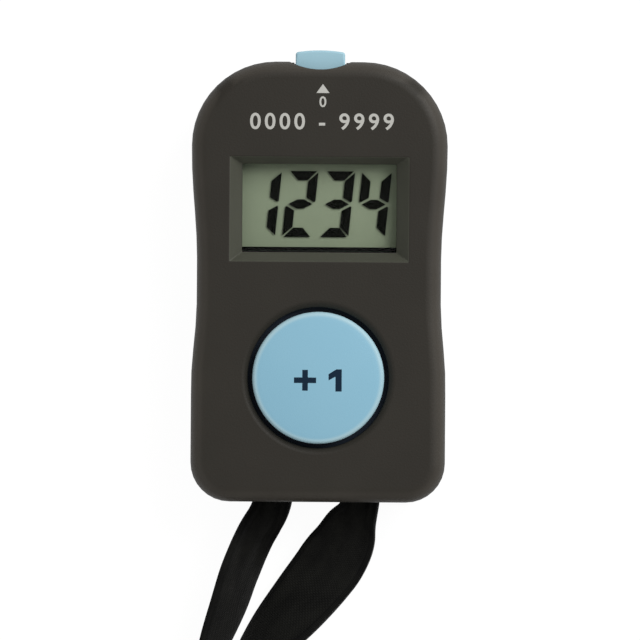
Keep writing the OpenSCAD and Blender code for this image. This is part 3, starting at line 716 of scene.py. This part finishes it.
# Corners of a triangle, a cross and a figure one with its flag, from left to right round each
ARROW = [(-0.95, -0.65), (0.95, -0.65), (0, 0.65)]
CROSS = [
    (-3.7, -0.4), (-2.5, -0.4), (-2.5, -1.5), (-1.7, -1.5), (-1.7, -0.4), (-0.5, -0.4), (-0.5, 0.4),
    (-1.7, 0.4), (-1.7, 1.5), (-2.5, 1.5), (-2.5, 0.4), (-3.7, 0.4)]
ONE = [(2.3, -1.6), (3.2, -1.6), (3.2, 1.6), (2.4, 1.6), (1.3, 0.9), (1.3, 0), (2.3, 0.55)]

mark("print_range", "0000 - 9999", height=2.3, middle=(0.3, 23.1), spacing=1.3, weight=0.05)
mark("print_zero", "0", height=1.5, middle=(0.4, 26.0), spacing=1.0, weight=0.03)
laid("print_arrow", outlines(ARROW), (0.4, 28.0), "case", PRINT_GREY)
laid("print_step", outlines(CROSS, ONE), (0.2, -14.25), "count_button", PRINT_NAVY, on_crown)


# Lanyard: one flat ribbon from the left slot, through the hank, back to the right slot.
# Stations are x, y, z, how far the ribbon is open and how far it is turned up from lying flat.
LEFT_ROUTE = [
    (-6.4, -30.9, 5, 0, 0), (-6.6, -32.3, 5, 0, 4), (-7.45, -34.4, 5, 0.1, 20), (-9, -36.9, 5, 0.35, 40),
    (-10.2, -39.5, 5.1, 0.65, 52), (-11.5, -43.1, 5.3, 1, 60), (-12.9, -47.4, 5.4, 1, 62),
    (-14.6, -52, 5.6, 1, 67), (-16.4, -57, 5.8, 1, 76), (-18, -63, 5.9, 1, 86), (-19, -69, 5.9, 1, 90),
    (-19, -74, 5.9, 1, 90)]
RIGHT_ROUTE = [
    (6.4, -30.9, 5, 0, 0), (6.3, -32.2, 5, 0, 0), (5.85, -33.9, 4.9, 0.12, 4), (4.9, -35.9, 4.6, 0.55, 8),
    (3.8, -38.4, 4.2, 0.85, 11), (2.3, -40.9, 3.8, 1, 14), (0.6, -43.3, 3.7, 1, 18),
    (-2.7, -47.4, 3.9, 1, 30), (-6.6, -52, 4.4, 1, 46), (-10.3, -57, 5.1, 1, 64), (-13.2, -62.6, 5.7, 1, 80),
    (-14.8, -68.6, 5.9, 1, 90), (-15, -74, 5.9, 1, 90)]
ROUTE_STEPS = 6
# Hank: middle, upper end, length of its runs, height, and how far its tie draws it in
HANK_X = 3.0
HANK_TOP = -74.0
HANK_RUN = 70.0
HANK_Z = 5.9
HANK_WAIST = 0.1
# Its turns go inwards from its half width by a step each, cross in the middle and come out again
HANK_HALF = 22
HANK_STEP = 4
HANK_TURNS = 4
INWARD = [(-1) ** (turn + 1) * (HANK_HALF - HANK_STEP * turn) for turn in range(HANK_TURNS)]
HANK_RUNS = [*INWARD, 0, *[-x for x in INWARD[:0:-1]]]
RUN_STEPS = 24
TURN_STEPS = 20
# In the hank the ribbon is open and stands on its edge
ON_EDGE = (1, 90)


def between(before, start, end, after, share):
    """Value at a share of the way from start to end, on a smooth curve through its neighbours."""
    return 0.5 * (2 * start + (end - before) * share
                  + (2 * before - 5 * start + 4 * end - after) * share * share
                  + (3 * start - before - 3 * end + after) * share ** 3)


def smooth_route(stations):
    """Stations on a smooth curve through the given ones."""
    ends = [stations[0], *stations, stations[-1]]
    made = []
    for neighbours in zip(ends, ends[1:], ends[2:], ends[3:]):
        for step in range(ROUTE_STEPS):
            made.append(tuple(between(*values, step / ROUTE_STEPS) for values in zip(*neighbours)))
    return made + [stations[-1]]


def hank_route():
    """Runs and half turns of the put away length, drawn in at the waist by the tie."""
    made = []
    for run, x in enumerate(HANK_RUNS):
        down = run % 2 == 0
        for step in range(RUN_STEPS + 1):
            share = step / RUN_STEPS
            waist = 1 - HANK_WAIST * math.sin(math.pi * share) ** 2
            y = HANK_TOP - HANK_RUN * (share if down else 1 - share)
            made.append((HANK_X + x * waist, y, HANK_Z, *ON_EDGE))
        if run + 1 < len(HANK_RUNS):
            middle = (x + HANK_RUNS[run + 1]) / 2
            end_y = HANK_TOP - (HANK_RUN if down else 0)
            for step in range(1, TURN_STEPS):
                angle = math.pi * step / TURN_STEPS
                out = (-1 if down else 1) * abs(x - middle) * math.sin(angle)
                made.append((HANK_X + middle + (x - middle) * math.cos(angle), end_y + out, HANK_Z, *ON_EDGE))
    return made


def ribbon_place(stations, index, across):
    """Point of the ribbon at a station, with across from -1 to 1 over its width."""
    before = stations[max(0, index - 1)]
    after = stations[min(len(stations) - 1, index + 1)]
    x, y, z, opened, turned = stations[index]
    way = Vector((after[0] - before[0], after[1] - before[1], 0)).normalized()
    turned = math.radians(turned)
    side = math.cos(turned) * Vector((way.y, -way.x, 0)) + Vector((0, 0, math.sin(turned)))
    through = side.cross(way)
    width = GATHERED_W + (RIBBON_W - GATHERED_W) * opened
    pleat = PLEAT_RISE * (1 - opened) * math.cos(PLEATS * math.pi * across)
    return Vector((x, y, z)) + side * (across * width / 2) + through * pleat


def ribbon(stations):
    """Flat strip with a UV map, laid along its stations."""
    form = bmesh.new()
    last = len(stations) - 1
    form.loops.layers.uv.new("UVMap")
    bmesh.ops.create_grid(form, x_segments=last, y_segments=RIBBON_COLUMNS, size=1.0, calc_uvs=True)
    for vertex in form.verts:
        vertex.co = ribbon_place(stations, round((vertex.co.x + 1) / 2 * last), vertex.co.y)
    bmesh.ops.scale(form, verts=form.verts[:], vec=(MM, MM, MM))
    return form


stations = smooth_route(LEFT_ROUTE)[:-1] + hank_route() + smooth_route(RIGHT_ROUTE)[::-1][1:]
path = [Vector(station[:3]) * MM for station in stations]
ribbon_length = sum((after - before).length for before, after in zip(path, path[1:]))
WEAVE_BLACK = woven("weave_black", srgb(4, 4, 4), srgb(26, 26, 23), ribbon_length / MM, RIBBON_W)
BAND_BLACK = banded("band_black", srgb(6, 6, 6), srgb(30, 30, 27))

tie = softened("tie", "lanyard_tie", "case", BAND_BLACK, TIE_BREAK)
softened("ribbon_eyes", "lanyard_eyes", "case", BAND_BLACK, PLAIN_BREAK)
strap = finished("ribbon", ribbon(stations), "case", WEAVE_BLACK,
                 ["lanyard_left", "lanyard_right", "lanyard_hank"], RIBBON_SHARP)
wall = strap.modifiers.new("thickness", "SOLIDIFY")
wall.thickness = RIBBON_T * MM
wall.offset = 0.0
wall.use_even_offset = True


# Finishes of the solids that stay as they are
for material, solids in (
        (DISPLAY_GREEN, ["lcd_rear_glass", "lcd_reflector"]),
        (HOLDER_BLACK, ["lcd_holder"]),
        (RUBBER_BLACK, ["zebra_strip", "reset_switch"]),
        (BOARD_GREEN, ["circuit_board"]),
        (RESIN_BLACK, ["chip_blob"]),
        (CERAMIC_TAN, ["chip_parts"]),
        (CARBON, ["contact_pads"]),
        (SWITCH_WHITE, ["switch_plunger"]),
        (TURNED_STEEL, ["crystal", "button_cell"]),
        (GOLD, ["cell_contact_minus", "cell_contact_plus"]),
        (STEEL, ["case_screws", "board_screws", "lanyard_pin"])):
    for solid in solids:
        nodes[solid].data.materials.clear()
        nodes[solid].data.materials.append(material)


# Stage: white floor that keeps a soft shadow, soft studio light and the camera straight above


def white_floor():
    """Matt floor that shows mostly plain white to the camera and in reflections."""
    finish = Finish("floor_white", base_color=(0.92, 0.92, 0.92, 1), roughness=0.9, specular_ior_level=0.0)
    camera_ray = finish.node("ShaderNodeLightPath", output="Is Camera Ray")
    seen = camera_ray.most(camera_ray.other("Is Glossy Ray")).most(camera_ray.other("Is Transmission Ray"))
    matt = Wire(finish, finish.shader.outputs[0])
    white = finish.node("ShaderNodeEmission", {}, {"Color": (1, 1, 1, 1), "Strength": FLOOR_WHITE})
    finish.surface(matt, white, seen * FLOOR_SHARE)
    return finish.material


def softbox(name, place, size, power):
    """Square soft lamp that shines at the part. Its place and size are in metres and its power in watts."""
    lamp = bpy.data.lights.new(name, "AREA")
    lamp.shape = "SQUARE"
    lamp.size = size
    lamp.energy = power
    holder = bpy.data.objects.new(name, lamp)
    holder.location = place
    holder.rotation_euler = (-Vector(place)).to_track_quat("-Z", "Y").to_euler()
    scene.collection.objects.link(holder)


floor_form = bmesh.new()
bmesh.ops.create_grid(floor_form, x_segments=1, y_segments=1, size=FLOOR_REACH * MM)
floor_mesh = bpy.data.meshes.new("floor")
floor_form.to_mesh(floor_mesh)
floor_form.free()
floor_mesh.transform(Matrix.Translation((0, 0, -FLOOR_GAP * MM)))
floor_mesh.materials.append(white_floor())
floor = bpy.data.objects.new("floor", floor_mesh)
scene.collection.objects.link(floor)

softbox("key", (0.36, 0.31, 0.48), size=0.42, power=3.65)
softbox("fill", (-0.45, -0.25, 0.5), size=0.40, power=0.5)
world = bpy.data.worlds.new("studio")
scene.world = world
world.use_nodes = True
background = world.node_tree.nodes["Background"]
background.inputs["Color"].default_value = (1, 1, 1, 1)
background.inputs["Strength"].default_value = WORLD_LIGHT

camera_data = bpy.data.cameras.new("camera")
camera_data.sensor_width = SENSOR_W
camera_data.lens = SENSOR_W * (CAMERA[2] - FACE_Z) / VIEW_W
camera = bpy.data.objects.new("camera", camera_data)
camera.location = [distance * MM for distance in CAMERA]
camera.rotation_euler = (0, 0, math.radians(CAMERA_ROLL))
scene.collection.objects.link(camera)
scene.camera = camera
scene.view_settings.view_transform = "Standard"
